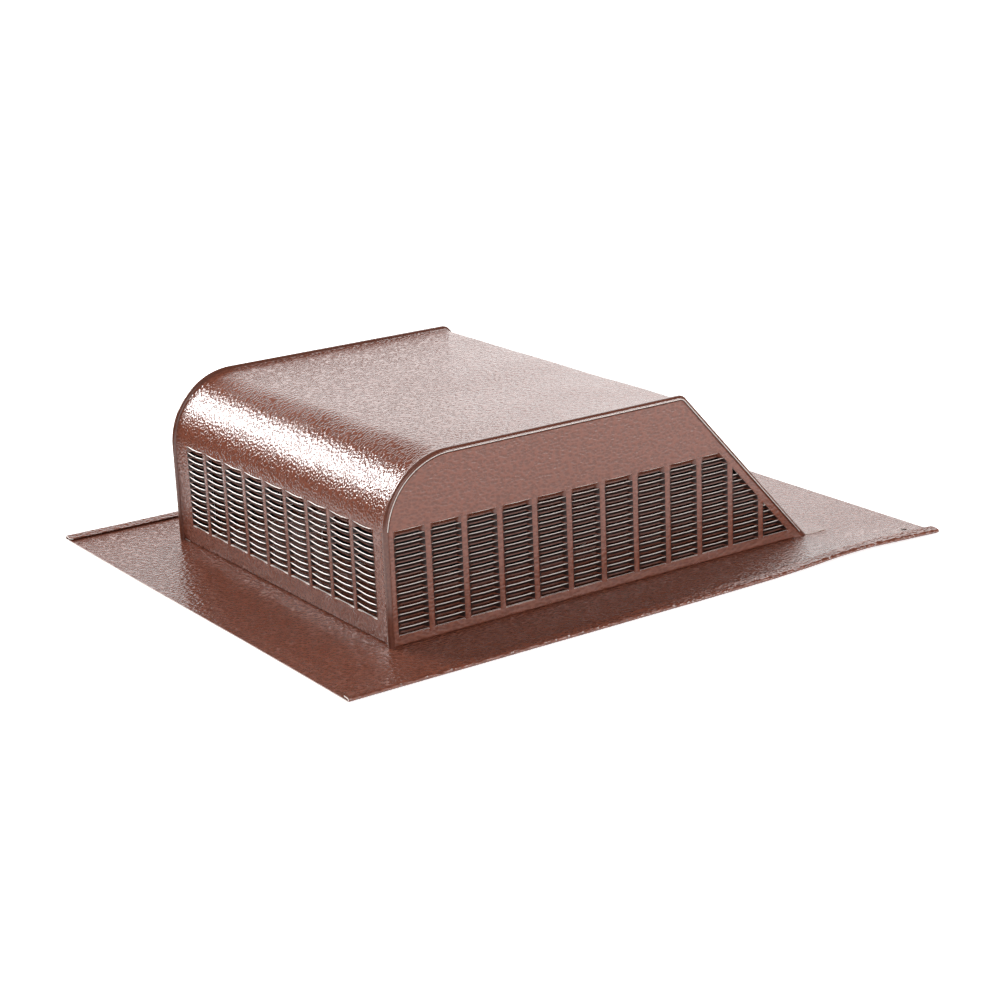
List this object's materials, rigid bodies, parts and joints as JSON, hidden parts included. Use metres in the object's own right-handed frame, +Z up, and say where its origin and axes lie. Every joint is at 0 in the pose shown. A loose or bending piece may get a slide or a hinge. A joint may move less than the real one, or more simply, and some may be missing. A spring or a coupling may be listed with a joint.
{
  "type": "static roof vent",
  "caption": "Low sheet-metal roof vent: a slant-back hood with louvred front and sides, seamed onto a flat roof flashing with a round throat for rising attic air.",
  "frame": {"origin": "middle of the flashing's underside, on the roof deck", "axes": "+Z up from the roof deck, -Y towards the louvred front, +Y up the roof past the slanted back, X across"},
  "size_m": [0.418, 0.498, 0.126],
  "materials": {
    "flashing": "glossy stucco-embossed paint",
    "hood": "glossy stucco-embossed paint",
    "side_panels": "glossy stucco-embossed paint"
  },
  "bodies": {
    "root": {"base_flashing": "flashing", "hood_wrap": "hood", "left_side_panel": "side_panels", "right_side_panel": "side_panels"}
  },
  "joints": []
}
